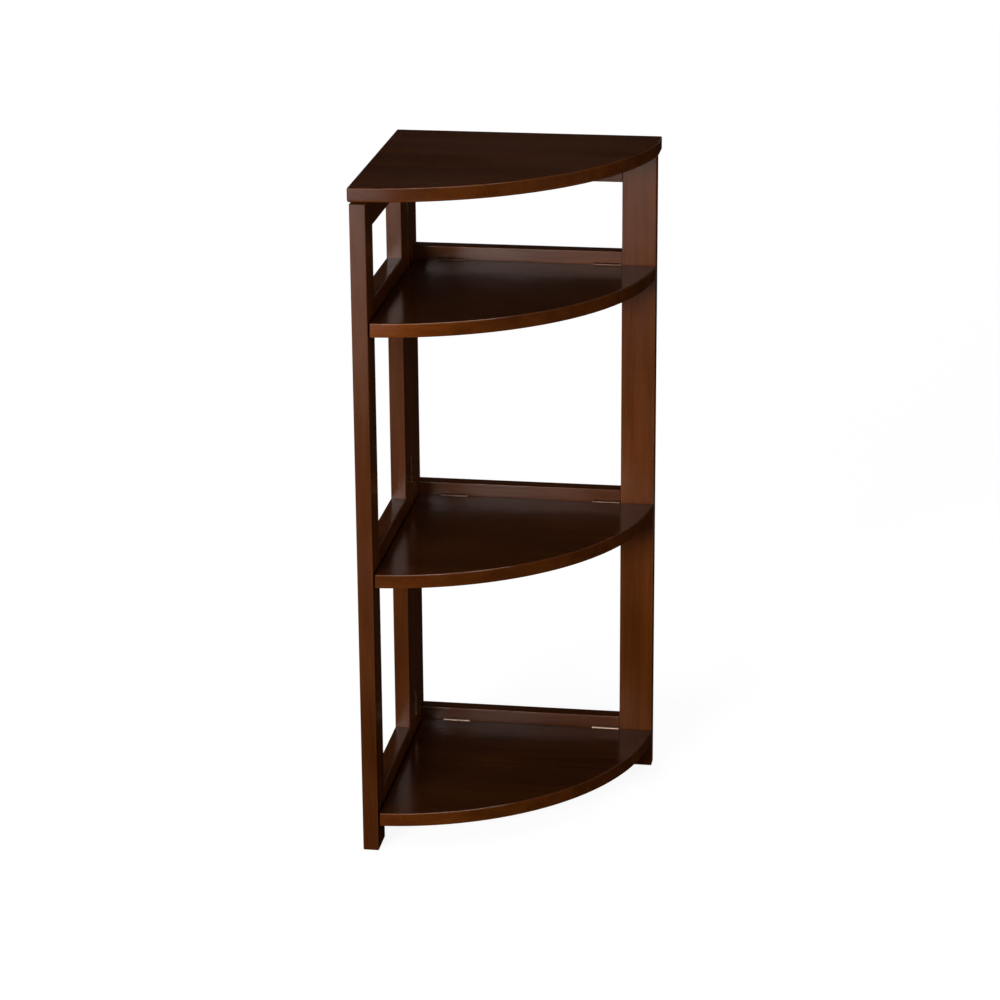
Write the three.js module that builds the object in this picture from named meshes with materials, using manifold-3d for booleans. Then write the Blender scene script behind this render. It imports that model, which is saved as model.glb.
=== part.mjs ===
// Corner shelf unit that folds flat: two open wooden frames joined by butt hinges at the
// inner corner, three quarter-round shelves and a top, each hinged along the back frame.
// Millimetres, +Z up. The part is drawn with its outer corner at x = 0, y = 0, the back
// frame along +X and the side frame along -Y, and the last group moves the origin to the
// middle of its footprint.
import * as THREE from "three";
import { mergeVertices } from "three/addons/utils/BufferGeometryUtils.js";
import Module from "manifold-3d";

// Overall sizes
const HEIGHT = 863.6;
const FRAME_WIDTH = 336;
const CORNER_X = 0;
const CORNER_Y = 0;

// Clearances and cutting overruns
const GAP = 0.3;
const OVERRUN = 5;

// Frame stock
const STOCK = 20;
const STILE_WIDTH = 44;
const POST_DEPTH = 60;
const RAIL_HEIGHT = 38;
const SIDE_TOP_RAIL_HEIGHT = 35;
const SIDE_RAIL_HEIGHT = 52;
const SEAM = 1;

// Mortise and tenon joints of the rails
const TENON_THICKNESS = 8;
const TENON_SHOULDER = 6;
const POST_TENON = 12;
const STILE_TENON = 20;

// Shelves
const SHELF_THICKNESS = 18;
const SHELF_SIDE_GAP = 2;
const SHELF_EASE = 1.5;
const LOWEST_SHELF = 51.4;
const HIGHEST_SHELF_DROP = 165;
const BACK_RAIL_RISE = 17.5;
const SIDE_RAIL_RISE = 22;

// Top
const TOP_THICKNESS = 18;
const TOP_OVERHANG = 4;
const TOP_RADIUS = 354;
const TOP_FRONT_SETBACK = 8;
const TOP_RIGHT_DEPTH = 33.3;
const TOP_EASE = 3;

// Shelf rests and their screws
const REST_SIZE = 14;
const REST_LENGTH = 90;
const REST_HEIGHT = 11.5;
const SCREW_INSET = 18;
const SCREW_LENGTH = 26;
const SCREW_SHANK_RADIUS = 1.8;
const SCREW_HEAD_RADIUS = 3.5;
const SCREW_HEAD_HEIGHT = 2.5;

// Butt hinges: every one is the same, with two knuckles on the fixed leaf and one between
const HINGE_LENGTH = 36;
const HINGE_SIDE_KNUCKLE = 11;
const LEAF_WIDTH = 14;
const LEAF_THICKNESS = 1;
const KNUCKLE_RADIUS = 2;
const KNUCKLE_BORE_RADIUS = 1.2;
const PIN_RADIUS = 0.9;
const HINGE_FROM_POST = 49;
const HINGE_FROM_STILE = 19;
const TOP_HINGE_BEHIND = 0.5;
const CORNER_HINGE_FROM_FLOOR = 91;
const CORNER_HINGE_FROM_TOP = 57;

// Facets of round shapes
const ARC_FACETS = 24;
const EASE_FACETS = 2;
const ROUND_SIDES = 12;

// Places worked out from the sizes
const TOP_UNDERSIDE = HEIGHT - TOP_THICKNESS;
const FRAME_TOP = TOP_UNDERSIDE - GAP;
const BACK_FACE = CORNER_Y - STOCK;
const SIDE_FACE = CORNER_X + STOCK;
const RIGHT_END = CORNER_X + FRAME_WIDTH;
const FRONT_END = CORNER_Y - FRAME_WIDTH;
const POST_FRONT = CORNER_Y - POST_DEPTH;
const REAR_STILE_BACK = POST_FRONT - SEAM;
const REAR_STILE_FRONT = REAR_STILE_BACK - STILE_WIDTH;
const FRONT_STILE_BACK = FRONT_END + STILE_WIDTH;
const RIGHT_STILE_LEFT = RIGHT_END - STILE_WIDTH;

// The shelves are evenly spaced and reach as far as the frames do
const HIGHEST_SHELF = HEIGHT - HIGHEST_SHELF_DROP;
const SHELF_RADIUS = FRAME_WIDTH;
const SHELF_LEVELS = [
  { name: "low", surface: LOWEST_SHELF },
  { name: "mid", surface: (LOWEST_SHELF + HIGHEST_SHELF) / 2 },
  { name: "high", surface: HIGHEST_SHELF },
];

const wasm = await Module();
wasm.setup();

// Materials
const material = (color, roughness, metalness) =>
  new THREE.MeshStandardMaterial({ color, roughness, metalness });
const frameWood = material("#45291c", 0.4, 0);
const panelWood = material("#33201a", 0.35, 0);
const hingeMetal = material("#9a8a78", 0.4, 0.9);
const pinMetal = material("#b5a897", 0.3, 0.9);
const screwMetal = material("#8d8578", 0.4, 0.9);

// Solids from three.js geometry and back
function solidOf(geometry) {
  const bare = geometry.index ? geometry.toNonIndexed() : geometry.clone();
  bare.deleteAttribute("normal");
  bare.deleteAttribute("uv");
  const merged = mergeVertices(bare);
  return new wasm.Manifold(
    new wasm.Mesh({
      numProp: 3,
      vertProperties: new Float32Array(merged.attributes.position.array),
      triVerts: new Uint32Array(merged.index.array),
    }),
  );
}

function geometryOf(solid) {
  const mesh = solid.getMesh();
  const geometry = new THREE.BufferGeometry();
  geometry.setAttribute("position", new THREE.BufferAttribute(mesh.vertProperties, mesh.numProp));
  geometry.setIndex(new THREE.BufferAttribute(mesh.triVerts, 1));
  const faceted = geometry.toNonIndexed();
  faceted.computeVertexNormals();
  return faceted;
}

function piece(name, solid, look) {
  const mesh = new THREE.Mesh(geometryOf(solid), look);
  mesh.name = name;
  return mesh;
}

// A box between two values on each axis, in either order
function blockGeometry([x0, x1], [y0, y1], [z0, z1]) {
  const size = [x1 - x0, y1 - y0, z1 - z0].map(Math.abs);
  const geometry = new THREE.BoxGeometry(...size);
  return geometry.translate((x0 + x1) / 2, (y0 + y1) / 2, (z0 + z1) / 2);
}

const block = (x, y, z) => solidOf(blockGeometry(x, y, z));
const joined = (solids) => solids.reduce((sum, solid) => sum.add(solid));
const cutBy = (solid, tools) => tools.reduce((rest, tool) => rest.subtract(tool), solid);

// A span of the given half width about a middle
const about = (middle, half) => [middle - half, middle + half];

// Rail levels: where each rail's bottom and top lie
const railLevels = (rise, height, topHeight) => [
  ...SHELF_LEVELS.map(({ name, surface }) => ({
    name,
    top: surface + rise,
    bottom: surface + rise - height,
  })),
  { name: "top", top: FRAME_TOP, bottom: FRAME_TOP - topHeight },
];
const BACK_RAILS = railLevels(BACK_RAIL_RISE, RAIL_HEIGHT, RAIL_HEIGHT);
const SIDE_RAILS = railLevels(SIDE_RAIL_RISE, SIDE_RAIL_HEIGHT, SIDE_TOP_RAIL_HEIGHT);

// Height span of a rail's tenon, and of the mortise that takes it
const tenonRise = ({ bottom, top }) => [bottom + TENON_SHOULDER, top - TENON_SHOULDER];
const mortiseRise = (level) => {
  const [low, high] = tenonRise(level);
  return [low - GAP, high + GAP];
};

// The frames' middle planes, where the tenons run
const BACK_MIDDLE = CORNER_Y - STOCK / 2;
const SIDE_MIDDLE = CORNER_X + STOCK / 2;
const TENON_SPAN = TENON_THICKNESS / 2;

// Butt hinge, drawn with its pin along x, its moving side towards +y and its leaves
// reaching along +z, then turned to where it sits
const hingeAt = (along, across, inward, origin, behind) => ({
  matrix: new THREE.Matrix4()
    .makeBasis(along, across, inward)
    .setPosition(origin),
  behind,
});
const X = new THREE.Vector3(1, 0, 0);
const Y = new THREE.Vector3(0, 1, 0);
const Z = new THREE.Vector3(0, 0, 1);
const BACKWARD_X = X.clone().negate();
const BACKWARD_Y = Y.clone().negate();
const DOWN = Z.clone().negate();

const KNUCKLE_NOTCH = KNUCKLE_RADIUS + GAP;
const HALF_HINGE = HINGE_LENGTH / 2;
const SIDE_KNUCKLES = [
  [-HALF_HINGE, -HALF_HINGE + HINGE_SIDE_KNUCKLE],
  [HALF_HINGE - HINGE_SIDE_KNUCKLE, HALF_HINGE],
];
const MIDDLE_KNUCKLE = [
  -HALF_HINGE + HINGE_SIDE_KNUCKLE + GAP,
  HALF_HINGE - HINGE_SIDE_KNUCKLE - GAP,
];

function rodAlongX(radius, [x0, x1]) {
  const geometry = new THREE.CylinderGeometry(radius, radius, x1 - x0, ROUND_SIDES);
  return solidOf(geometry.rotateZ(Math.PI / 2).translate((x0 + x1) / 2, 0, 0));
}

// One leaf: a flat plate with its knuckles rolled round the pin; side is +1 on the moving
// leaf and -1 on the fixed one
function leafSolid(knuckles, side) {
  const face = (GAP / 2) * side;
  const back = face + LEAF_THICKNESS * side;
  const plate = block([-HALF_HINGE, HALF_HINGE], [face, back], [KNUCKLE_NOTCH, LEAF_WIDTH]);
  const neck = [(KNUCKLE_BORE_RADIUS + KNUCKLE_RADIUS) / 2, (KNUCKLE_NOTCH + LEAF_WIDTH) / 2];
  const necks = knuckles.map((span) => block(span, [face, back], neck));
  const rings = knuckles.map((span) => rodAlongX(KNUCKLE_RADIUS, span));
  const bore = rodAlongX(KNUCKLE_BORE_RADIUS, [-HALF_HINGE - OVERRUN, HALF_HINGE + OVERRUN]);
  return joined([plate, ...necks, ...rings]).subtract(bore);
}

// The recess that one side of a hinge needs in the wood: a pocket for the leaf and a notch
// for the knuckles
function hingeRecess(hinge, side) {
  const length = about(0, HALF_HINGE + GAP);
  const pocketDepth = (GAP / 2 + LEAF_THICKNESS + GAP) * side;
  const pocket = blockGeometry(length, [0, pocketDepth], [0, LEAF_WIDTH + GAP]);
  const notch = blockGeometry(length, [0, KNUCKLE_NOTCH * side], [-hinge.behind, KNUCKLE_NOTCH]);
  return joined([pocket, notch].map((geometry) => solidOf(geometry.applyMatrix4(hinge.matrix))));
}

function hingePieces(name, hinge) {
  const parts = [
    piece(name + "_fixed_leaf", leafSolid(SIDE_KNUCKLES, -1), hingeMetal),
    piece(name + "_moving_leaf", leafSolid([MIDDLE_KNUCKLE], 1), hingeMetal),
    piece(name + "_pin", rodAlongX(PIN_RADIUS, [-HALF_HINGE, HALF_HINGE]), pinMetal),
  ];
  const group = new THREE.Group();
  group.applyMatrix4(hinge.matrix);
  group.add(...parts);
  return group;
}

// Each shelf and the top hang on two hinges, at the same places along the back frame
const HINGE_SIDES = [
  { side: "left", x: SIDE_FACE + HINGE_FROM_POST },
  { side: "right", x: RIGHT_STILE_LEFT - HINGE_FROM_STILE },
];

// Shelf hinges sit in the seam between a back rail and a shelf's rear edge, pins at the
// height of the shelf's surface
const SHELF_BACK = BACK_FACE - SEAM;
const SHELF_AXIS_Y = BACK_FACE - SEAM / 2;
const shelfHinges = ({ name, surface }) =>
  HINGE_SIDES.map(({ side, x }) => ({
    name: "shelf_" + name + "_hinge_" + side,
    hinge: hingeAt(X, BACKWARD_Y, DOWN, new THREE.Vector3(x, SHELF_AXIS_Y, surface), KNUCKLE_NOTCH),
  }));

// Top hinges sit between the back frame's upper edge and the top, pins at the rear
const TOP_AXIS_Y = CORNER_Y + TOP_HINGE_BEHIND;
const TOP_HINGES = HINGE_SIDES.map(({ side, x }) => ({
  name: "top_hinge_" + side,
  hinge: hingeAt(
    X,
    Z,
    BACKWARD_Y,
    new THREE.Vector3(x, TOP_AXIS_Y, FRAME_TOP + GAP / 2),
    TOP_OVERHANG + OVERRUN,
  ),
}));

// Corner hinges sit in the seam between the corner post and the side frame, pins half a
// seam behind the inner face, so that the shelves swing up past the knuckles
const CORNER_HINGES = [
  { level: "low", z: CORNER_HINGE_FROM_FLOOR },
  { level: "mid", z: FRAME_TOP / 2 },
  { level: "high", z: FRAME_TOP - CORNER_HINGE_FROM_TOP },
].map(({ level, z }) => ({
  name: "corner_hinge_" + level,
  hinge: hingeAt(
    DOWN,
    BACKWARD_Y,
    BACKWARD_X,
    new THREE.Vector3(SIDE_FACE - SEAM / 2, POST_FRONT - SEAM / 2, z),
    KNUCKLE_NOTCH,
  ),
}));

// Back frame: corner post, right stile and four rails
function cornerPost() {
  const post = block([CORNER_X, SIDE_FACE], [CORNER_Y, POST_FRONT], [0, FRAME_TOP]);
  const mortises = BACK_RAILS.map((level) =>
    block(
      [SIDE_FACE - POST_TENON - GAP, SIDE_FACE + OVERRUN],
      about(BACK_MIDDLE, TENON_SPAN + GAP),
      mortiseRise(level),
    ),
  );
  const recesses = CORNER_HINGES.map(({ hinge }) => hingeRecess(hinge, -1));
  return piece("corner_post", cutBy(post, [...mortises, ...recesses]), frameWood);
}

function rightStile() {
  const stile = block([RIGHT_STILE_LEFT, RIGHT_END], [CORNER_Y, BACK_FACE], [0, FRAME_TOP]);
  const mortises = BACK_RAILS.map((level) =>
    block(
      [RIGHT_STILE_LEFT - OVERRUN, RIGHT_STILE_LEFT + STILE_TENON + GAP],
      about(BACK_MIDDLE, TENON_SPAN + GAP),
      mortiseRise(level),
    ),
  );
  return piece("right_stile", cutBy(stile, mortises), frameWood);
}

function backRail(level) {
  const rail = block(
    [SIDE_FACE + GAP, RIGHT_STILE_LEFT - GAP],
    [CORNER_Y, BACK_FACE],
    [level.bottom, level.top],
  );
  const tenons = block(
    [SIDE_FACE - POST_TENON, RIGHT_STILE_LEFT + STILE_TENON],
    about(BACK_MIDDLE, TENON_SPAN),
    tenonRise(level),
  );
  const shelf = SHELF_LEVELS.find(({ name }) => name === level.name);
  const hinges = shelf ? shelfHinges(shelf) : TOP_HINGES;
  const recesses = hinges.map(({ hinge }) => hingeRecess(hinge, -1));
  return piece("back_rail_" + level.name, cutBy(rail.add(tenons), recesses), frameWood);
}

// Side frame: rear and front stiles and four rails
function rearStile() {
  const stile = block(
    [CORNER_X, SIDE_FACE],
    [REAR_STILE_BACK, REAR_STILE_FRONT],
    [0, FRAME_TOP],
  );
  const mortises = SIDE_RAILS.map((level) =>
    block(
      about(SIDE_MIDDLE, TENON_SPAN + GAP),
      [REAR_STILE_FRONT + STILE_TENON + GAP, REAR_STILE_FRONT - OVERRUN],
      mortiseRise(level),
    ),
  );
  const recesses = CORNER_HINGES.map(({ hinge }) => hingeRecess(hinge, 1));
  return piece("rear_stile", cutBy(stile, [...mortises, ...recesses]), frameWood);
}

function frontStile() {
  const stile = block([CORNER_X, SIDE_FACE], [FRONT_STILE_BACK, FRONT_END], [0, FRAME_TOP]);
  const mortises = SIDE_RAILS.map((level) =>
    block(
      about(SIDE_MIDDLE, TENON_SPAN + GAP),
      [FRONT_STILE_BACK - STILE_TENON - GAP, FRONT_STILE_BACK + OVERRUN],
      mortiseRise(level),
    ),
  );
  return piece("front_stile", cutBy(stile, mortises), frameWood);
}

// A shelf rest lies midway along its side rail
const REST_MIDDLE = (REAR_STILE_FRONT + FRONT_STILE_BACK) / 2;
const [REST_FRONT, REST_BACK] = about(REST_MIDDLE, REST_LENGTH / 2);
const REST_INNER = SIDE_FACE + GAP + REST_SIZE;
const restTop = ({ surface }) => surface - SHELF_THICKNESS - GAP;

// The screw of a shelf rest, drawn along +x from its point to its head; with a clearance it
// is the tool that cuts its hole
function screwSolid(clearance) {
  const shank = rodAlongX(SCREW_SHANK_RADIUS + clearance, [
    -SCREW_LENGTH - clearance,
    -SCREW_HEAD_HEIGHT / 2,
  ]);
  const cone = new THREE.CylinderGeometry(
    SCREW_SHANK_RADIUS + clearance,
    SCREW_HEAD_RADIUS + clearance,
    SCREW_HEAD_HEIGHT,
    ROUND_SIDES,
  );
  return shank.add(solidOf(cone.rotateZ(Math.PI / 2).translate(-SCREW_HEAD_HEIGHT / 2, 0, 0)));
}

const restScrewPlaces = (shelf) =>
  [
    { end: "rear", y: REST_BACK - SCREW_INSET },
    { end: "front", y: REST_FRONT + SCREW_INSET },
  ].map(({ end, y }) => ({ end, place: [REST_INNER, y, restTop(shelf) - REST_HEIGHT / 2] }));

const screwHoles = (shelf) =>
  restScrewPlaces(shelf).map(({ place }) => screwSolid(GAP).translate(place));

function sideRail(level) {
  const rail = block(
    [CORNER_X, SIDE_FACE],
    [REAR_STILE_FRONT - GAP, FRONT_STILE_BACK + GAP],
    [level.bottom, level.top],
  );
  const tenons = block(
    about(SIDE_MIDDLE, TENON_SPAN),
    [REAR_STILE_FRONT + STILE_TENON, FRONT_STILE_BACK - STILE_TENON],
    tenonRise(level),
  );
  const shelf = SHELF_LEVELS.find(({ name }) => name === level.name);
  const holes = shelf ? screwHoles(shelf) : [];
  return piece("side_rail_" + level.name, cutBy(rail.add(tenons), holes), frameWood);
}

function shelfRest(shelf) {
  const rest = block(
    [SIDE_FACE + GAP, REST_INNER],
    [REST_BACK, REST_FRONT],
    [restTop(shelf), restTop(shelf) - REST_HEIGHT],
  );
  return piece("shelf_rest_" + shelf.name, cutBy(rest, screwHoles(shelf)), frameWood);
}

const restScrews = (shelf) =>
  restScrewPlaces(shelf).map(({ end, place }) => {
    const name = "rest_screw_" + shelf.name + "_" + end;
    return piece(name, screwSolid(0).translate(place), screwMetal);
  });

// A panel from its outline, with eased edges, lying with its underside at the given height
function panelSolid(outline, thickness, ease, underside) {
  const geometry = new THREE.ExtrudeGeometry(outline, {
    depth: thickness - ease - ease,
    curveSegments: ARC_FACETS,
    bevelEnabled: true,
    bevelThickness: ease,
    bevelSize: ease,
    bevelOffset: -ease,
    bevelSegments: EASE_FACETS,
  });
  return solidOf(geometry.translate(0, 0, underside + ease));
}

// Quarter-round shelf about the outer corner
function shelf(level) {
  const left = SIDE_FACE + SHELF_SIDE_GAP;
  const fromLeft = Math.asin((left - CORNER_X) / SHELF_RADIUS);
  const fromBack = Math.asin((CORNER_Y - SHELF_BACK) / SHELF_RADIUS);
  const outline = new THREE.Shape();
  outline.moveTo(left, SHELF_BACK);
  outline.lineTo(left, CORNER_Y - SHELF_RADIUS * Math.cos(fromLeft));
  outline.absarc(CORNER_X, CORNER_Y, SHELF_RADIUS, fromLeft - Math.PI / 2, -fromBack);
  outline.closePath();
  const underside = level.surface - SHELF_THICKNESS;
  const panel = panelSolid(outline, SHELF_THICKNESS, SHELF_EASE, underside);
  const recesses = shelfHinges(level).map(({ hinge }) => hingeRecess(hinge, 1));
  return piece("shelf_" + level.name, cutBy(panel, recesses), panelWood);
}

// The centre of an arc of the given radius that bulges to the right of the way from one
// point to the other
function arcCentre(from, to, radius) {
  const chord = to.clone().sub(from);
  const inward = new THREE.Vector2(-chord.y, chord.x).normalize();
  const depth = Math.sqrt(radius ** 2 - chord.lengthSq() / 4);
  return from.clone().add(to).divideScalar(2).addScaledVector(inward, depth);
}

// The top, with a flatter front curve between its two straight ends
function topPanel() {
  const left = CORNER_X - TOP_OVERHANG;
  const right = RIGHT_END + TOP_OVERHANG;
  const rear = CORNER_Y + TOP_OVERHANG;
  const from = new THREE.Vector2(left, FRONT_END + TOP_FRONT_SETBACK);
  const to = new THREE.Vector2(right, CORNER_Y - TOP_RIGHT_DEPTH);
  const centre = arcCentre(from, to, TOP_RADIUS);
  const start = from.clone().sub(centre).angle();
  const end = to.clone().sub(centre).angle();
  const outline = new THREE.Shape();
  outline.moveTo(left, rear);
  outline.lineTo(from.x, from.y);
  outline.absarc(centre.x, centre.y, TOP_RADIUS, start, end);
  outline.lineTo(right, rear);
  outline.closePath();
  const panel = panelSolid(outline, TOP_THICKNESS, TOP_EASE, TOP_UNDERSIDE);
  const recesses = TOP_HINGES.map(({ hinge }) => hingeRecess(hinge, 1));
  return piece("top", cutBy(panel, recesses), panelWood);
}

const backFrame = new THREE.Group();
backFrame.add(cornerPost(), rightStile(), ...BACK_RAILS.map(backRail));

const sideFrame = new THREE.Group();
sideFrame.add(rearStile(), frontStile(), ...SIDE_RAILS.map(sideRail));
sideFrame.add(...SHELF_LEVELS.map(shelfRest), ...SHELF_LEVELS.flatMap(restScrews));

const panels = new THREE.Group();
panels.add(...SHELF_LEVELS.map(shelf), topPanel());

const hinges = new THREE.Group();
const allHinges = [...SHELF_LEVELS.flatMap(shelfHinges), ...TOP_HINGES, ...CORNER_HINGES];
hinges.add(...allHinges.map(({ name, hinge }) => hingePieces(name, hinge)));

const unit = new THREE.Group();
unit.add(backFrame, sideFrame, panels, hinges);
unit.position.set(-(CORNER_X + RIGHT_END) / 2, -(FRONT_END + CORNER_Y + TOP_OVERHANG) / 2, 0);

export default unit;
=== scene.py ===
import math

import bmesh
import bpy
from mathutils import Matrix, Vector


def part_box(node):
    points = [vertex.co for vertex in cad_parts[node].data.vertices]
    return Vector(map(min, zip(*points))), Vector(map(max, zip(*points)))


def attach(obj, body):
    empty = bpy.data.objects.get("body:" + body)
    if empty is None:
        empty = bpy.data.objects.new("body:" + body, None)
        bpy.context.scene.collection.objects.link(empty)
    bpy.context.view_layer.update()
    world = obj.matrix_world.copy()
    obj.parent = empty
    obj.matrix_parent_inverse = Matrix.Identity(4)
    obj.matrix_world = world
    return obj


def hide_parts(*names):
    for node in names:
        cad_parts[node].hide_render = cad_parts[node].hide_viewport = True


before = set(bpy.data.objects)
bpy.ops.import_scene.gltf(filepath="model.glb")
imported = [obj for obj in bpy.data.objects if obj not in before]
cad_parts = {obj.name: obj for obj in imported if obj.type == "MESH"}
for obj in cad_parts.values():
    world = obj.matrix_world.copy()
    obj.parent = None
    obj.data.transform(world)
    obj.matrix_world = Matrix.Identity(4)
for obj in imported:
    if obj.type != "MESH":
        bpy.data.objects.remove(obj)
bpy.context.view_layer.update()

# Lengths are in metres
MM = 0.001
ALONG_X, ALONG_Y, ALONG_Z = 0, 1, 2
LEVELS = ("low", "mid", "high")
RAIL_LEVELS = (*LEVELS, "top")

# Boards and panels
BOARD_EASE = 1.2 * MM
REST_EASE = 0.8 * MM
SHELF_EASE = 1.5 * MM
TOP_UNDER_EASE = 3 * MM
BOARD_EASE_STEPS = 3
PANEL_EASE_STEPS = 4
LARGEST_EASED_FACE = (9 * MM) ** 2
SHELF_RADIUS = 336 * MM
TOP_RADIUS = 354 * MM
TOP_RIGHT_DEPTH = 37.3 * MM
ARC_STEPS = 120
MERGE_REACH = 0.01 * MM

# Mortise and tenon joints
TENON_THICKNESS = 8 * MM
TENON_SHOULDER = 6 * MM

# Hinges
HINGE_LENGTH = 36 * MM
LEAF_WIDTH = 14 * MM
LEAF_THICKNESS = 1 * MM
LEAF_GAP = 0.3 * MM
LEAF_EASE = 0.12 * MM
LEAF_EASE_STEPS = 2
KNUCKLE_RADIUS = 2 * MM
KNUCKLE_LENGTH = {"fixed": 11 * MM, "moving": 13.4 * MM}
KNUCKLE_COUNT = {"fixed": 2, "moving": 1}
KNUCKLE_SPACING = 25 * MM
KNUCKLE_SIDES = 40
BORE_RADIUS = 1.2 * MM
BORE_LENGTH_SHARE = 1.2
PIN_RADIUS = 1.1 * MM
PIN_SIDES = 32
PIN_EASE = 0.6 * MM
PIN_EASE_STEPS = 4

# The sides of a closed hinge on which its two leaves lie
FIXED, MOVING = -1, 1
LEAF_SIDE = {"fixed": FIXED, "moving": MOVING}

# Room that is left around what goes into the wood
CLEARANCE = 0.3 * MM
OVERCUT = 0.8 * MM
KNUCKLE_NOTCH = KNUCKLE_RADIUS + CLEARANCE
TOP_NOTCH_REACH = 9 * MM

# Screws and their holes
LEAF_SCREW = {"head": 2.3 * MM, "depth": 0.9 * MM, "shank": 1 * MM, "length": 9 * MM}
REST_SCREW = {"head": 3.5 * MM, "depth": 2.5 * MM, "shank": 1.8 * MM, "length": 26 * MM}
LEAF_SCREW_SPACING = 22 * MM
LEAF_HOLE_MOUTH = LEAF_SCREW["head"] + 0.15 * MM
LEAF_HOLE_FOOT = LEAF_SCREW["shank"] + 0.3 * MM
LEAF_HOLE_DEPTH_SHARE = 1.4
LEAF_HOLE_MIDDLE_SHARE = 0.6
HEAD_OVERLAP_SHARE = 0.9
TIP_SHARE = 0.25
RECESS_LENGTH_SHARE = 1.15
RECESS_WIDTH_SHARE = 0.26
SCREW_TURN_SEED = 7
LEAF_HOLE_SIDES = 32
REST_HOLE_SIDES = 24
SCREW_SIDES = 28

# Angles from which an edge is eased or stays sharp in the shading, and how much flat faces count
PANEL_CORNER = math.radians(40)
LEAF_CORNER = math.radians(50)
SHARP_ANGLE = math.radians(38)
FLAT_FACE_WEIGHT = 100

# A face is square to an axis if this share of its normal lies along it
SQUARE_SHARE = 0.995

# A panel's face is on the rim below this share along z, and tilted above this one
RIM_SHARE, TILT_SHARE = 0.7, 0.05


# Nodes of a shader or geometry tree


def add_node(tree, kind, inputs=None, **settings):
    made = tree.nodes.new(kind)
    for name, value in settings.items():
        setattr(made, name, value)
    for key, value in (inputs or {}).items():
        if isinstance(value, bpy.types.NodeSocket):
            tree.links.new(value, made.inputs[key])
        else:
            made.inputs[key].default_value = value
    return made


def reckon(tree, operation, *values):
    made = add_node(tree, "ShaderNodeMath", dict(enumerate(values)), operation=operation)
    return made.outputs[0]


def halfway(tree, one, other):
    return reckon(tree, "MULTIPLY", reckon(tree, "ADD", one, other), 0.5)


def vector(tree, x=0.0, y=0.0, z=0.0):
    return add_node(tree, "ShaderNodeCombineXYZ", {0: x, 1: y, 2: z}).outputs[0]


# Nodes of a finish


def blank_material(name):
    material = bpy.data.materials.new(name)
    material.use_nodes = True
    material.node_tree.nodes.clear()
    return material, material.node_tree


def object_place(tree):
    return add_node(tree, "ShaderNodeTexCoord").outputs["Object"]


def noise(tree, place, scale, detail, roughness=0.5, distortion=0.0):
    inputs = {
        "Vector": place,
        "Scale": scale,
        "Detail": detail,
        "Roughness": roughness,
        "Distortion": distortion,
    }
    return add_node(tree, "ShaderNodeTexNoise", inputs).outputs["Fac"]


def spread(tree, value, given, wanted, interpolation="LINEAR"):
    """Turns the given range of a value into the wanted one."""
    inputs = {
        "Value": value,
        "From Min": given[0],
        "From Max": given[1],
        "To Min": wanted[0],
        "To Max": wanted[1],
    }
    made = add_node(tree, "ShaderNodeMapRange", inputs, interpolation_type=interpolation)
    return made.outputs[0]


def blended(tree, share, first, second):
    """The first colour, with this share of the second in it."""
    colours = {0: share, 6: first, 7: second}
    made = add_node(tree, "ShaderNodeMix", colours, data_type="RGBA", blend_type="MIX")
    return made.outputs[2]


def marked(tree, mark):
    """1 on the faces that mark_faces gave this mark."""
    return add_node(tree, "ShaderNodeAttribute", attribute_name=mark).outputs["Fac"]


def relief(tree, height, strength, depth):
    inputs = {"Strength": strength, "Distance": depth, "Height": height}
    return add_node(tree, "ShaderNodeBump", inputs).outputs[0]


def show_surface(tree, shader):
    add_node(tree, "ShaderNodeOutputMaterial", {"Surface": shader})


# Stained and lacquered wood

# Colours of the stain, the first three with the strength of the grain at which they lie
STAIN_DARK = (0.060, 0.0130, 0.0012, 1)
STAIN_MIDDLE = (0.088, 0.0208, 0.0019, 1)
STAIN_LIGHT = (0.114, 0.0294, 0.0032, 1)
DARK_AT, MIDDLE_AT, LIGHT_AT = 0.38, 0.56, 0.74
STAIN_IN_PORES = (0.030, 0.0065, 0.002, 1)
# Lighter stain on eased edges, partly rubbed wear and partly a painted highlight
STAIN_RUBBED_AND_HIGHLIT = (0.16, 0.05, 0.018, 1)

# Patterns of the grain, by how often they repeat in a metre along and across it
FIGURE = {"along": 3.2, "across": 42.0, "detail": 4.0, "distortion": 0.6}
FIBRES = {"along": 16.0, "across": 620.0, "detail": 3.0}
PORES = {"along": 55.0, "across": 1500.0, "detail": 1.0}
CLOUD = {"along": 5.0, "across": 8.0, "detail": 2.0}
PATTERN_ROUGHNESS = 0.55
FIGURE_SHARE, FIBRE_SHARE = 0.75, 0.35
PORE_RANGE, PORE_SHARE = (0.6, 0.72), 0.45
CLOUD_RANGE = (0.3, 0.7)
TONE_SHARES = (0.86, 1.14)
RUBBED_AND_HIGHLIT_SHARE = 0.55
GRAIN_TURN = {"x": (0, 0, 0), "y": (0, 0, math.pi / 2), "z": (0, math.pi / 2, 0)}

# Painted shade: the stain is darker towards the feet, and this ends between these heights
PAINTED_FOOT_SHADE_RANGE, PAINTED_FOOT_SHADE_SHARE = (0.06, 0.34), 0.78

# Painted light on a rim: where in x it goes over from its first number to its second
PAINTED_RIM_LIGHT_RANGE = (-0.15, 0.02)

# Lacquer: how its roughness drifts, and how far fibres stand out and pores sink in
LACQUER_DRIFT = (-0.04, 0.05)
FIBRE_RISE, PORE_SINK = 0.5, -0.35
LACQUER_RELIEF, LACQUER_RELIEF_STRENGTH = 0.25 * MM, 0.22


def grain_pattern(tree, turned, along, across, detail, distortion=0.0):
    """A pattern that is drawn out along the x of the turned place."""
    stretch = {"Vector": turned, "Scale": (along, across, across)}
    stretched = add_node(tree, "ShaderNodeMapping", stretch).outputs[0]
    return noise(tree, stretched, 1.0, detail, PATTERN_ROUGHNESS, distortion)


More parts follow.
